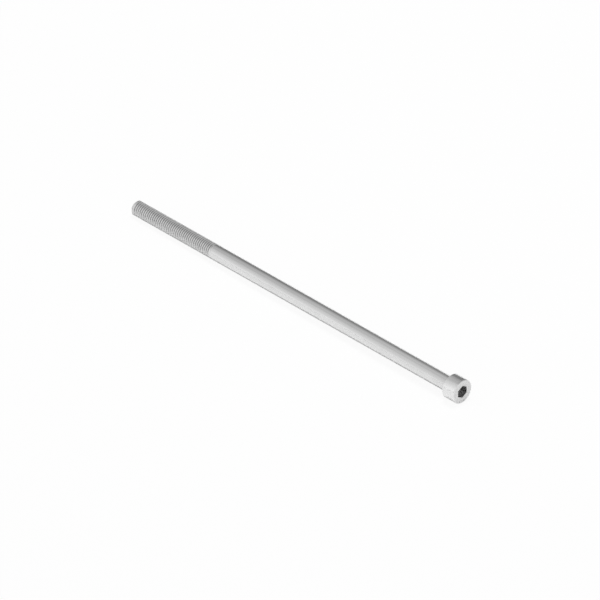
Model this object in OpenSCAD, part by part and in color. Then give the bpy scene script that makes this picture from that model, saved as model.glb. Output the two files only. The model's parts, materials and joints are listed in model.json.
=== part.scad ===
// Hexagon socket head cap screw, metric, partly threaded: one solid piece of steel.
// The screw lies level, with its axis along X, its head towards +X and its tip towards -X.
// The origin is on the axis, in the plane of the bearing face under the head.
// Two corners of the socket point straight up and down, so two of its flats face along Y.
// The thread stands here as a plain cylinder over its crests.

/* [Shank] */
// Length under the head, from the bearing face to the tip
length = 220; // [100:5:300]
// Nominal size: the diameter of the plain shank
size_d = 8; // [5:0.25:10]
// Fillet between the shank and the bearing face
neck_r = 0.5; // [0.2:0.05:0.8]

/* [Thread] */
// Length of full thread, counted from the tip
thread_len = 52; // [20:1:90]
// Pitch, which also sets the run-out and the bevel at the tip
pitch = 1.25; // [0.8:0.05:1.75]
// How far the crests of the thread stand inside the surface of the shank
crest_drop = 0.03; // [0.01:0.01:0.1]

/* [Head] */
// Diameter of the head
head_d = 13; // [12:0.25:20]
// Height of the head
head_h = 8; // [6.5:0.1:14]
// Rounding around the top face
crown_r = 0.5; // [0.2:0.05:0.8]
// Bevel around the bearing face
seat_bevel = 0.3; // [0.1:0.05:0.5]

/* [Socket] */
// Width across the flats of the key
key_af = 6; // [4:0.25:7.5]
// Play between the key and the socket, across the flats
key_play = 0.06; // [0.02:0.01:0.2]
// Depth of the six flats, from the top face
socket_depth = 4.2; // [3.2:0.1:5.2]
// Depth of the shallow cone below the flats
socket_dish = 0.5; // [0.1:0.05:0.8]

/* [Hidden] */
$fn = 96;
steel = "#c9cacc";
past = 1; // how far a cutting shape runs past the face that it opens

shank_r = size_d / 2;
head_r = head_d / 2;

// A basic metric thread is 0.6134 of its pitch deep, and fades out over about two turns.
thread_depth = 0.6134 * pitch;
thread_r = shank_r - crest_drop;
runout_len = 2 * pitch;
plain_len = length - thread_len - runout_len;

// The tip is bevelled at 45 degrees, down to just inside the root of the thread.
tip_margin = 0.1;
tip_bevel = thread_depth + tip_margin;
tip_r = thread_r - tip_bevel;

flat_r = (key_af + key_play) / 2; // from the axis to a flat of the socket
corner_r = flat_r / cos(30); // from the axis to a corner of the socket

// The outlines below are half sections: x is the radius, and y runs along the axis towards the
// head, from 0 at the bearing face.

// The corner that a rounding of radius r takes off, with the centre of the rounding at the origin.
module corner_waste(r) {
    difference() {
        square(r + past);
        circle(r);
    }
}

module screw_outline() {
    difference() {
        polygon([
            [0, head_h],
            [head_r, head_h],
            [head_r, seat_bevel],
            [head_r - seat_bevel, 0],
            [shank_r + neck_r, 0],
            [shank_r + neck_r, -neck_r],
            [shank_r, -neck_r],
            [shank_r, -plain_len],
            [thread_r, -plain_len - runout_len],
            [thread_r, -length + tip_bevel],
            [tip_r, -length],
            [0, -length],
        ]);
        translate([head_r - crown_r, head_h - crown_r]) corner_waste(crown_r);
        translate([shank_r + neck_r, -neck_r]) circle(neck_r);
    }
}

// The hole for the key: six flats with a shallow cone below them.
module socket() {
    translate([0, 0, head_h - socket_depth])
        cylinder(h = socket_depth + past, r = corner_r, $fn = 6);
    translate([0, 0, head_h - socket_depth - socket_dish])
        cylinder(h = socket_dish, r1 = 0, r2 = flat_r);
}

module cap_screw() {
    // drawn upright, then laid along X
    color(steel) rotate([0, 90, 0]) difference() {
        rotate_extrude() screw_outline();
        socket();
    }
}

cap_screw();
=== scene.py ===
import json
import math

import bmesh
import bpy
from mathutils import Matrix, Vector

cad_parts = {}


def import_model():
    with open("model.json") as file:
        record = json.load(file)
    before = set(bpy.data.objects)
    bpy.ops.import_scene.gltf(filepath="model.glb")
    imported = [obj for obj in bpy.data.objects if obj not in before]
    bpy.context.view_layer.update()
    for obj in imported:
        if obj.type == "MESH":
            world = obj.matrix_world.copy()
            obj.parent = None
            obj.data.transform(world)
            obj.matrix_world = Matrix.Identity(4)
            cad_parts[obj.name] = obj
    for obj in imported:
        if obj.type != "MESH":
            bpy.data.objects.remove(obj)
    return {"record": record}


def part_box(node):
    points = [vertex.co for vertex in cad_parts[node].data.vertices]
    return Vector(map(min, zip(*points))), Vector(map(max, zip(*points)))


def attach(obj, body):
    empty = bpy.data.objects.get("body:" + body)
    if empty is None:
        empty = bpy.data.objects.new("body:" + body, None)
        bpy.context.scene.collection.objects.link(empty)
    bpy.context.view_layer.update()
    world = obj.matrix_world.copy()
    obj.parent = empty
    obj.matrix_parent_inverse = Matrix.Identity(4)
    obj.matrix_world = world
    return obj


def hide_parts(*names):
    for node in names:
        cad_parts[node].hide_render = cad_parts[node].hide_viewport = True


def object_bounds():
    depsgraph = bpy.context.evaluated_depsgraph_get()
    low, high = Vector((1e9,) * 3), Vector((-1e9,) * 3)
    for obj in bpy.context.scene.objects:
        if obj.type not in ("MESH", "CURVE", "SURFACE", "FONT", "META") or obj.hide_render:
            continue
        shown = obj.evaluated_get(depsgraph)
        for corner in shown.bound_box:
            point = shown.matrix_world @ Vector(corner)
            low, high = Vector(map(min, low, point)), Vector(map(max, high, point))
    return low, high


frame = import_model()
cad_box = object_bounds()

# The screw lies along X, with its tip towards -X and the bearing face of its head at x = 0.
# Lengths are in millimetres, and MM turns them into the frame's metres.
MM = 0.001
NODE = "cap_screw"

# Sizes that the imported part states.
mounts = {mount["name"]: mount["dims"] for mount in frame["record"]["mounts"]}
node_low, node_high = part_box(NODE)
TIP_X = node_low.x / MM
FACE_X = node_high.x / MM
HEAD_R = node_high.z / MM
SHANK_R = mounts["shank"]["r_mm"]
THREAD_R = mounts["thread"]["r_mm"]

# A right-hand metric thread, cut into the plain cylinder that the part has over its crests.
PITCH = 1.25
THREAD_DEPTH = 0.6134 * PITCH
ROOT_ROUND = 0.1443 * PITCH
CREST_FLAT = PITCH / 8
CREST_ROUND = 0.03  # how far the crest's corners are rolled over
THREAD_LEN = 52.0  # the full thread, from the tip, as in the part's source
RUNOUT_LEN = 2 * PITCH
THREAD_END_X = TIP_X + THREAD_LEN
GROOVE_RISE_X = THREAD_END_X + RUNOUT_LEN - PITCH / 2  # here the last groove starts to come up
GROOVE_END_X = GROOVE_RISE_X + PITCH  # and here it has faded out
PLAIN_X = GROOVE_END_X + PITCH  # past here the shank is a plain cylinder
RUNOUT_NARROW = 0.5  # how much a groove narrows while it fades out
LEAD_IN = 2.5 * PITCH  # how far beyond the tip the helix is begun
SPARE_TURNS = 2  # turns past the plain ring, whose points all fall on that ring
TIP_MARGIN = 0.1  # how far inside the thread's root the bevelled tip ends
TIP_BEVEL = THREAD_DEPTH + TIP_MARGIN
WELD = 0.01  # points closer than this are joined where the tip is cut

# The head and its socket.
NECK_R = 0.5  # the fillet under the head
SEAT_BEVEL = 0.3  # around the bearing face
CROWN_R = 0.5  # the rounding of the head's outer end
FLAT_R = 3.03  # from the axis to a flat of the socket
SOCKET_DEPTH = 4.2
SOCKET_DISH = 0.5
MOUTH_BREAK = 0.06  # the broken edge around the socket's mouth
CORNER_LEDGE = 0.04  # the narrow step between the flats and the dish

# Points around the axis. A multiple of 12 puts some of them on the socket's corners.
SIDES = 120
STEP = math.tau / SIDES
ARC_STEPS = 6
SHARP_ANGLE = math.radians(38)  # edges that turn more than this look sharp

FINISHES = ["thread_steel", "drawn_steel", "turned_steel", "faced_steel", "broached_steel",
            "drilled_steel"]


# ---------------------------------------------------------------- the screw's mesh

def around(x, radius, angle):
    """The point at that place along the axis, distance from it and angle about it."""
    return Vector((x, radius * math.cos(angle), radius * math.sin(angle))) * MM


def ring(bm, x, radius):
    """A ring of points about the axis. The radius is a number, or a function of the angle."""
    angles = [i * STEP for i in range(SIDES)]
    return [bm.verts.new(around(x, radius(a) if callable(radius) else radius, a)) for a in angles]


def face(bm, corners, finish):
    """One face over the different corners given, or none if fewer than three differ."""
    corners = list(dict.fromkeys(corners))
    if len(corners) > 2:
        bm.faces.new(corners).material_index = FINISHES.index(finish)


def band(bm, start, end, finish):
    """The faces between two rings."""
    for i in range(SIDES):
        after = (i + 1) % SIDES
        face(bm, [start[i], start[after], end[after], end[i]], finish)


def cap(bm, rim, x, finish):
    """Closes a ring with a fan of faces about a point on the axis."""
    middle = bm.verts.new(around(x, 0, 0))
    for i, corner in enumerate(rim):
        face(bm, [corner, rim[(i + 1) % len(rim)], middle], finish)


def arc(centre_x, centre_r, radius, start, end):
    """Points (x, distance from the axis) along an arc, with its ends. Degrees count from +X."""
    angles = [math.radians(start + (end - start) * i / ARC_STEPS) for i in range(ARC_STEPS + 1)]
    return [(centre_x + radius * math.cos(a), centre_r + radius * math.sin(a)) for a in angles]


def groove_section():
    """One groove, from the middle of a crest: (place along the axis from its root, depth)."""
    root = []
    for degrees in (-60, -30, 0, 30, 60):
        a = math.radians(degrees)
        root.append((ROOT_ROUND * math.sin(a), THREAD_DEPTH - ROOT_ROUND * (1 - math.cos(a))))
    corner = (PITCH - CREST_FLAT) / 2
    flank = math.radians(60)
    side = [
        (corner - CREST_ROUND * math.cos(flank), CREST_ROUND * math.sin(flank)),
        (corner + CREST_ROUND, 0.0),
    ]
    other_side = [(-x, depth) for x, depth in reversed(side)]
    return [(-PITCH / 2, 0.0)] + other_side + root + side


def share_along(x, start, end):
    """0 before start, 1 after end, and in proportion between them."""
    return min(1.0, max(0.0, (x - start) / (end - start)))


def crest_radius(x):
    """The thread's crests stand a little inside the shank, and meet it over the run-out."""
    return THREAD_R + (SHANK_R - THREAD_R) * share_along(x, THREAD_END_X, THREAD_END_X + RUNOUT_LEN)


def plain_share(x):
    """1 where the thread hasn't begun at the tip or has run out on the shank, and 0 between."""
    begun = share_along(x, TIP_X + TIP_BEVEL, TIP_X + TIP_BEVEL + PITCH)
    run_out = share_along(x, GROOVE_RISE_X, GROOVE_END_X)
    return max(1 - begun, run_out)


def thread(bm):
    """The thread, from beyond the tip to a plain ring on the shank. Returns that ring."""
    section = groove_section()
    end_ring = ring(bm, PLAIN_X, SHANK_R)
    start_x = TIP_X - LEAD_IN
    turns = math.ceil((PLAIN_X - start_x) / PITCH) + SPARE_TURNS
    rows = []
    for i in range(turns * SIDES + 1):
        root_x = start_x + PITCH * i / SIDES
        faded = plain_share(root_x)
        row = []
        for offset, depth in section:
            x = root_x + offset * (1 - RUNOUT_NARROW * faded if depth else 1)
            radius = crest_radius(x) - depth * (1 - faded)
            inside = x < PLAIN_X
            row.append(bm.verts.new(around(x, radius, i * STEP)) if inside else end_ring[i % SIDES])
        rows.append(row)
    for i in range((turns - 1) * SIDES):
        here = rows[i] + [rows[i + SIDES][0]]
        after = rows[i + 1] + [rows[i + 1 + SIDES][0]]
        for k in range(len(section)):
            face(bm, [here[k], after[k], after[k + 1], here[k + 1]], "thread_steel")
    return end_ring


def near_tip(bm):
    """The points by the tip, as far as its bevel can reach."""
    return [vert for vert in bm.verts if vert.co.x < (TIP_X + 2 * TIP_BEVEL) * MM]


def bevel_tip(bm):
    """Trims the thread to a 45 degree cone at the tip, with a sharp edge where they meet."""
    def beyond(vert):
        reach = THREAD_R - TIP_BEVEL + vert.co.x / MM - TIP_X
        return math.hypot(vert.co.y, vert.co.z) / MM - reach

    # A point that isn't near the tip counts as inside the cone.
    excess = {vert: beyond(vert) for vert in near_tip(bm)}
    crossings = []
    for edge in dict.fromkeys(edge for vert in excess for edge in vert.link_edges):
        a, b = (excess.get(vert, -1.0) for vert in edge.verts)
        if a * b < 0:
            crossings.append(bmesh.utils.edge_split(edge, edge.verts[0], a / (a - b))[1])
    bmesh.ops.connect_verts(bm, verts=crossings)
    for vert, over in excess.items():
        if over > 0:
            radius = math.hypot(vert.co.y, vert.co.z) / MM
            vert.co.yz *= (radius - over) / radius


def cut_tip(bm):
    """Cuts the thread square at the tip and closes it with a flat end."""
    everything = bm.verts[:] + bm.edges[:] + bm.faces[:]
    bmesh.ops.bisect_plane(bm, geom=everything, plane_co=(TIP_X * MM, 0, 0),
                           plane_no=(1, 0, 0), clear_inner=True)
    bmesh.ops.remove_doubles(bm, verts=near_tip(bm), dist=WELD * MM)
    rim = [edge for edge in bm.edges if edge.is_boundary and edge.verts[0].co.x < THREAD_END_X * MM]
    end = bmesh.ops.holes_fill(bm, edges=rim)["faces"]
    fan = bmesh.ops.poke(bm, faces=end)["faces"]
    for part in fan:
        part.material_index = FINISHES.index("faced_steel")


def hexagon(flat_r):
    """The distance from the axis to a hexagon, by angle, with two corners on the Z axis."""
    half = math.radians(30)
    return lambda angle: flat_r / math.cos((angle + half) % (2 * half) - half)


def head(bm, shank_end):
    """The rest of the outside, from the plain shank to the rim of the socket's mouth."""
    neck = arc(-NECK_R, SHANK_R + NECK_R, NECK_R, -90, 0)
    seat = [(0.0, HEAD_R - SEAT_BEVEL), (SEAT_BEVEL, HEAD_R)]
    crown = arc(FACE_X - CROWN_R, HEAD_R - CROWN_R, CROWN_R, 90, 0)
    last = ring(bm, *neck[0])
    band(bm, shank_end, last, "drawn_steel")
    for x, radius in neck[1:] + seat + crown:
        new = ring(bm, x, radius)
        band(bm, last, new, "turned_steel")
        last = new
    mouth = ring(bm, FACE_X, hexagon(FLAT_R + MOUTH_BREAK))
    band(bm, last, mouth, "faced_steel")
    return mouth


def socket(bm, mouth):
    """The hole for the key: a broken edge, six flats and a shallow cone."""
    floor_x = FACE_X - SOCKET_DEPTH
    edge = ring(bm, FACE_X - MOUTH_BREAK, hexagon(FLAT_R))
    foot = ring(bm, floor_x, hexagon(FLAT_R))
    dish = ring(bm, floor_x, FLAT_R - CORNER_LEDGE)
    band(bm, mouth, edge, "faced_steel")
    band(bm, edge, foot, "broached_steel")
    band(bm, foot, dish, "drilled_steel")
    cap(bm, dish, floor_x - SOCKET_DISH, "drilled_steel")


def screw():
    """The whole screw as one closed mesh, in place of the part's plain solid."""
    bm = bmesh.new()
    shank_end = thread(bm)
    bevel_tip(bm)
    cut_tip(bm)
    socket(bm, head(bm, shank_end))
    bmesh.ops.delete(bm, geom=[vert for vert in bm.verts if not vert.link_faces], context="VERTS")
    bmesh.ops.recalc_face_normals(bm, faces=bm.faces[:])
    for part in bm.faces:
        part.smooth = True
    for edge in bm.edges:
        edge.smooth = edge.calc_face_angle(0) < SHARP_ANGLE
    mesh = bpy.data.meshes.new("screw")
    bm.to_mesh(mesh)
    bm.free()
    piece = bpy.data.objects.new("screw", mesh)
    bpy.context.scene.collection.objects.link(piece)
    return piece


# ---------------------------------------------------------------- materials

PER_MM = 1 / MM  # texture coordinates are in metres, and patterns are sized in millimetres
STEEL = 0.78  # the grey of clean steel

# Soft noise keeps mostly between these two values.
NOISE_LOW = 0.3
NOISE_HIGH = 0.7


class Nodes:
    """The nodes of a material or of the world, and short ways to add to them."""

    def __init__(self, owner):
        owner.use_nodes = True
        self.tree = owner.node_tree

    def new(self, kind):
        return self.tree.nodes.new("ShaderNode" + kind)

    def put(self, socket, value):
        """Links another node's output to a socket, or sets it to a plain value."""
        if isinstance(value, bpy.types.NodeSocket):
            self.tree.links.new(value, socket)
        else:
            socket.default_value = value

    def maths(self, operation, first, second=0.0):
        node = self.new("Math")
        node.operation = operation
        self.put(node.inputs[0], first)
        self.put(node.inputs[1], second)
        return node.outputs[0]


class Surface(Nodes):
    """A metal material, and short ways to give it a finish."""

    def __init__(self, name):
        self.material = bpy.data.materials.new(name)
        super().__init__(self.material)
        self.shader = self.tree.nodes["Principled BSDF"]
        self.shader.inputs["Metallic"].default_value = 1.0
        self.place = self.new("TexCoord").outputs["Object"]

    def span(self, value, low, high, to_low=0.0, to_high=1.0):
        """Turns the range low to high into the range to_low to to_high, and stays inside it."""
        node = self.new("MapRange")
        for name, amount in (("Value", value), ("From Min", low), ("From Max", high),
                             ("To Min", to_low), ("To Max", to_high)):
            self.put(node.inputs[name], amount)
        return node.outputs[0]

    def spread(self, noise, to_low=0.0, to_high=1.0):
        """Spreads soft noise over the range to_low to to_high."""
        return self.span(noise, NOISE_LOW, NOISE_HIGH, to_low, to_high)

    def near(self, value, middle, reach):
        """1 where the value is the middle one, falling to 0 at that distance from it."""
        distance = self.maths("ABSOLUTE", self.maths("SUBTRACT", value, middle))
        return self.span(distance, 0.0, reach, 1.0, 0.0)

    def stretched(self, along, across):
        """The place in millimetres, with its own scale along the screw's axis and across it."""
        node = self.new("Mapping")
        self.put(node.inputs["Vector"], self.place)
        node.inputs["Scale"].default_value = (along * PER_MM, across * PER_MM, across * PER_MM)
        return node.outputs[0]

    def along(self):
        """The place along the screw's axis, in millimetres."""
        node = self.new("SeparateXYZ")
        self.put(node.inputs[0], self.stretched(along=1.0, across=0.0))
        return node.outputs["X"]

    def radius(self):
        """The distance from the screw's axis, in millimetres."""
        node = self.new("VectorMath")
        node.operation = "LENGTH"
        self.put(node.inputs[0], self.stretched(along=0.0, across=1.0))
        return node.outputs["Value"]

    def noise(self, vector, detail=2.0):
        """Soft random values about 0.5, one blot to each unit of the coordinates given."""
        node = self.new("TexNoise")
        self.put(node.inputs["Vector"], vector)
        node.inputs["Scale"].default_value = 1.0
        node.inputs["Detail"].default_value = detail
        return node.outputs["Fac"]

    def noise_over(self, value, scale, detail=2.0):
        """Random values over a single number, such as a radius, with that many to its unit."""
        node = self.new("TexNoise")
        node.noise_dimensions = "1D"
        self.put(node.inputs["W"], value)
        node.inputs["Scale"].default_value = scale
        node.inputs["Detail"].default_value = detail
        return node.outputs["Fac"]

    def colour(self, share, dark, light):
        """Clean steel made dark where the share is 0 and light where it is 1, by those factors."""
        ramp = self.new("ValToRGB")
        for element, factor in zip(ramp.color_ramp.elements, (dark, light)):
            element.color = (STEEL * factor, STEEL * factor, STEEL * factor, 1)
        self.put(ramp.inputs[0], share)
        self.put(self.shader.inputs["Base Color"], ramp.outputs["Color"])

    def roughness(self, value):
        self.put(self.shader.inputs["Roughness"], value)

    def bump(self, height, depth_mm):
        """Relief of that depth, from heights between 0 and 1."""
        node = self.new("Bump")
        node.inputs["Distance"].default_value = depth_mm * MM
        self.put(node.inputs["Height"], height)
        self.put(self.shader.inputs["Normal"], node.outputs[0])


def draw_lines(surface):
    """Fine lines along the shank, and the roughness that goes with them."""
    lines = surface.noise(surface.stretched(along=0.05, across=6.0), detail=3.0)
    return lines, surface.spread(lines, 0.12, 0.19)


def drawn_steel():
    """The plain shank: smooth, with fine draw lines along it and faint cloudy patches."""
    surface = Surface("drawn_steel")
    clouds = surface.noise(surface.stretched(along=0.06, across=0.25))
    lines, roughness = draw_lines(surface)
    surface.colour(surface.spread(clouds), dark=0.975, light=1.03)
    surface.roughness(roughness)
    surface.bump(lines, depth_mm=0.004)
    return surface.material


def turned_steel():
    """The head's side: fine tool marks around it, edges that are polished by handling, and painted
    light that makes it lighter than the shank.
    """
    surface = Surface("turned_steel")
    along = surface.along()
    clouds = surface.noise(surface.stretched(along=0.3, across=0.25))
    marks = surface.noise_over(along, scale=7.0)
    edges = surface.maths("MAXIMUM", surface.near(along, SEAT_BEVEL / 2, reach=0.5),
                          surface.near(along, FACE_X - CROWN_R / 2, reach=0.6))
    polish = surface.maths("MULTIPLY", edges, surface.span(clouds, 0.35, 0.65))
    patches = surface.span(clouds, 0.2, 0.8, 0.1, 0.6)
    # Painted light: both shades are lighter than clean steel, so the head's side looks more brightly
    # lit than the shank. The polished edges and the patches on top of that are wear and random tone.
    surface.colour(surface.maths("MAXIMUM", patches, polish), dark=1.05, light=1.16)
    turned = surface.spread(marks, 0.18, 0.25)
    surface.roughness(surface.maths("SUBTRACT", turned, surface.maths("MULTIPLY", polish, 0.05)))
    surface.bump(marks, depth_mm=0.005)
    return surface.material


def cut_across(name, dark, light):
    """A surface cut square to the axis: rings of tool marks, and a dull bloom in patches."""
    surface = Surface(name)
    rings = surface.noise_over(surface.radius(), scale=6.0, detail=3.0)
    bloom = surface.noise(surface.stretched(along=0.5, across=0.8), detail=4.0)
    tone = surface.maths("MULTIPLY", surface.spread(rings, 0.4, 1.0),
                         surface.span(bloom, 0.35, 0.65, 0.5, 1.0))
    surface.colour(tone, dark=dark, light=light)
    surface.roughness(surface.spread(rings, 0.34, 0.42))
    surface.bump(rings, depth_mm=0.006)
    return surface.material


def faced_steel():
    """The flat ends of the head and the tip."""
    return cut_across("faced_steel", dark=0.88, light=1.04)


def drilled_steel():
    """The bottom of the socket, left by the drill, and made darker than the ends with painted shade.
    """
    # Painted shade: darker shades than the faced ends, for a bottom that lies deep in the socket.
    return cut_across("drilled_steel", dark=0.7, light=0.9)


def thread_steel():
    """The rolled thread: bright crests, rough roots darkened with painted shade, and the shank's
    finish at its end.
    """
    surface = Surface("thread_steel")
    height = surface.span(surface.radius(), THREAD_R - THREAD_DEPTH, THREAD_R)
    clouds = surface.noise(surface.stretched(along=0.15, across=0.4))
    # Painted shade: the colour darkens from the crests down into the roots of the grooves, with a
    # little random tone over it.
    root_shade_and_wear = surface.maths("ADD", height, surface.spread(clouds, -0.08, 0.08))
    surface.colour(root_shade_and_wear, dark=0.52, light=1.0)
    grain = surface.noise(surface.stretched(along=5.0, across=5.0), detail=3.0)
    dull = surface.spread(grain, 0.38, 0.45)
    rolled = surface.maths("SUBTRACT", dull, surface.maths("MULTIPLY", height, 0.14))
    lines, drawn = draw_lines(surface)
    along = surface.along()
    surface.roughness(surface.span(along, GROOVE_RISE_X, PLAIN_X, rolled, drawn))
    surface.bump(surface.span(along, GROOVE_RISE_X, PLAIN_X, grain, lines), depth_mm=0.006)
    return surface.material


def broached_steel():
    """The socket's flats: dull, scored along the axis by the broach, and darkened with painted
    shade, more so towards the socket's bottom.
    """
    surface = Surface("broached_steel")
    # Painted shade: the flats are far darker than clean steel, and darker still the deeper they lie
    # in the socket.
    depth = surface.span(surface.along(), FACE_X - SOCKET_DEPTH, FACE_X)
    scores = surface.noise(surface.stretched(along=0.2, across=5.0), detail=3.0)
    tone = surface.maths("MULTIPLY", depth, surface.spread(scores, 0.6, 1.0))
    surface.colour(tone, dark=0.42, light=0.64)
    surface.roughness(surface.spread(scores, 0.32, 0.5))
    surface.bump(scores, depth_mm=0.02)
    return surface.material


# ---------------------------------------------------------------- the studio

VIEW_AZIMUTH = math.radians(44.7)  # turned from the front, -Y, towards the head
VIEW_ELEVATION = math.radians(34.87)
VIEW_WIDTH = 0.2978  # metres across the picture
VIEW_SHIFT_X = 0.57 * MM  # along the screw's axis, from the middle of the part
CAMERA_DISTANCE = 1.0
CAMERA_NEAR = 0.01
CAMERA_FAR = 10.0
FLOOR_HALF = 3.0  # metres from the middle of the floor to its sides

# How much plain white is laid over the floor and the room: for the camera, and in metal and glass.
FLOOR_WHITE = (0.92, 0.1)
ROOM_WHITE = (1.0, 0.22)


def camera():
    """A camera without perspective, on the side of the head, looking down on the screw."""
    data = bpy.data.cameras.new("camera")
    data.type = "ORTHO"
    data.ortho_scale = VIEW_WIDTH
    data.clip_start = CAMERA_NEAR
    data.clip_end = CAMERA_FAR
    view = bpy.data.objects.new("camera", data)
    bpy.context.scene.collection.objects.link(view)
    back = Vector((math.sin(VIEW_AZIMUTH) * math.cos(VIEW_ELEVATION),
                   -math.cos(VIEW_AZIMUTH) * math.cos(VIEW_ELEVATION),
                   math.sin(VIEW_ELEVATION)))
    middle = Vector(((cad_box[0].x + cad_box[1].x) / 2 + VIEW_SHIFT_X, 0, 0))
    view.location = middle + back * CAMERA_DISTANCE
    view.rotation_euler = back.to_track_quat("Z", "Y").to_euler()
    bpy.context.scene.camera = view


def floor():
    """A pale floor under the rim of the head and the edge of the tip, where the screw rests."""
    rest_head = Vector((SEAT_BEVEL, 0, -HEAD_R)) * MM
    rest_tip = Vector((TIP_X + TIP_BEVEL, 0, -THREAD_R)) * MM
    slope = math.atan2(rest_tip.z - rest_head.z, rest_head.x - rest_tip.x)
    corners = [(x * FLOOR_HALF, y * FLOOR_HALF, 0) for x, y in ((-1, -1), (1, -1), (1, 1), (-1, 1))]
    mesh = bpy.data.meshes.new("floor")
    mesh.from_pydata(corners, [], [(0, 1, 2, 3)])
    plane = bpy.data.objects.new("floor", mesh)
    bpy.context.scene.collection.objects.link(plane)
    plane.location = (rest_head + rest_tip) / 2
    plane.rotation_euler = (0, slope, 0)
    return plane


def whitened(nodes, shader, white, shares):
    """The shader with plain white laid over it, by the shares for the camera and for metal."""
    in_camera, in_metal = shares
    path = nodes.new("LightPath").outputs
    share = nodes.maths("MULTIPLY", path["Is Camera Ray"], in_camera)
    for ray in ("Is Glossy Ray", "Is Transmission Ray"):
        share = nodes.maths("MAXIMUM", share, nodes.maths("MULTIPLY", path[ray], in_metal))
    mix = nodes.new("MixShader")
    nodes.put(mix.inputs[0], share)
    nodes.put(mix.inputs[1], shader.outputs[0])
    nodes.put(mix.inputs[2], white.outputs[0])
    return mix.outputs[0]


def floor_material():
    """Matt and pale. The camera sees most of it as plain white, and the rest keeps the shadow."""
    material = bpy.data.materials.new("floor")
    nodes = Nodes(material)
    shader = nodes.tree.nodes["Principled BSDF"]
    shader.inputs["Base Color"].default_value = (0.95, 0.95, 0.95, 1)
    shader.inputs["Roughness"].default_value = 0.9
    shader.inputs["Specular IOR Level"].default_value = 0.0
    white = nodes.new("Emission")
    nodes.put(nodes.tree.nodes["Material Output"].inputs["Surface"],
              whitened(nodes, shader, white, FLOOR_WHITE))
    return material


# The room's glows: the side they are on, seen from the screw, how far they spread, in degrees, and
# how strong they are. The strengths come from a least-squares fit to the tones of the photo's steel,
# made outside this script. The fourth was then raised on trial renders, and the sixth stands for two
# of the fit's glows.
GLOWS = [
    ((-1, 0, 0), 60, 0.57),  # past the tip
    ((0, -1, 0), 60, 0.43),  # in front
    ((0, -1, 1), 60, 0.42),  # in front and above
    ((-1, -1, 1), 60, 0.33),  # in front and above, towards the tip
    ((-0.7, -1, 0), 24, 0.22),  # low in front, towards the tip
    ((-0.8, 0.4, 1), 24, 0.27),  # above, towards the tip
    ((1, 1, 1), 60, 0.5),  # behind and above, past the head
    ((1, -0.4, 0.4), 40, 0.85),  # past the head, facing its end
]


def glow(nodes, direction, spread, strength):
    """Light from one side, that fades from its middle to nothing at the edge of its spread."""
    dot = nodes.new("VectorMath")
    dot.operation = "DOT_PRODUCT"
    nodes.put(dot.inputs[0], nodes.new("TexCoord").outputs["Generated"])
    nodes.put(dot.inputs[1], Vector(direction).normalized())
    fade = nodes.new("MapRange")
    fade.interpolation_type = "SMOOTHSTEP"
    nodes.put(fade.inputs["Value"], dot.outputs["Value"])
    nodes.put(fade.inputs["From Min"], math.cos(math.radians(spread)))
    nodes.put(fade.inputs["To Max"], strength)
    return fade.outputs[0]


def world():
    """A dark room with soft glows, wide and narrow, and plain white laid over it."""
    studio = bpy.data.worlds.new("studio")
    bpy.context.scene.world = studio
    nodes = Nodes(studio)
    level = 0.0
    for direction, spread, strength in GLOWS:
        level = nodes.maths("ADD", level, glow(nodes, direction, spread, strength))
    room = nodes.tree.nodes["Background"]
    room.inputs["Color"].default_value = (1, 1, 1, 1)
    nodes.put(room.inputs["Strength"], level)
    white = nodes.new("Background")
    white.inputs["Color"].default_value = (1, 1, 1, 1)
    nodes.put(nodes.tree.nodes["World Output"].inputs["Surface"],
              whitened(nodes, room, white, ROOM_WHITE))


def softbox(name, direction, distance, size, power):
    """A square lamp that faces the part, for matt things only. Camera and steel don't see it."""
    data = bpy.data.lights.new(name, "AREA")
    data.size = size
    data.energy = power
    lamp = bpy.data.objects.new(name, data)
    bpy.context.scene.collection.objects.link(lamp)
    towards = Vector(direction).normalized()
    lamp.location = (cad_box[0] + cad_box[1]) / 2 + towards * distance
    lamp.rotation_euler = towards.to_track_quat("Z", "Y").to_euler()
    lamp.visible_camera = False
    lamp.visible_glossy = False


bpy.context.scene.view_settings.view_transform = "Standard"

piece = screw()
# The materials, in the order of FINISHES.
for material in (thread_steel(), drawn_steel(), turned_steel(), faced_steel(), broached_steel(),
                 drilled_steel()):
    piece.data.materials.append(material)
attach(piece, "root")
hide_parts(NODE)

floor().data.materials.append(floor_material())
world()
softbox("overhead", direction=(0.0, 0.15, 1.0), distance=1.5, size=0.5, power=10.6)
camera()
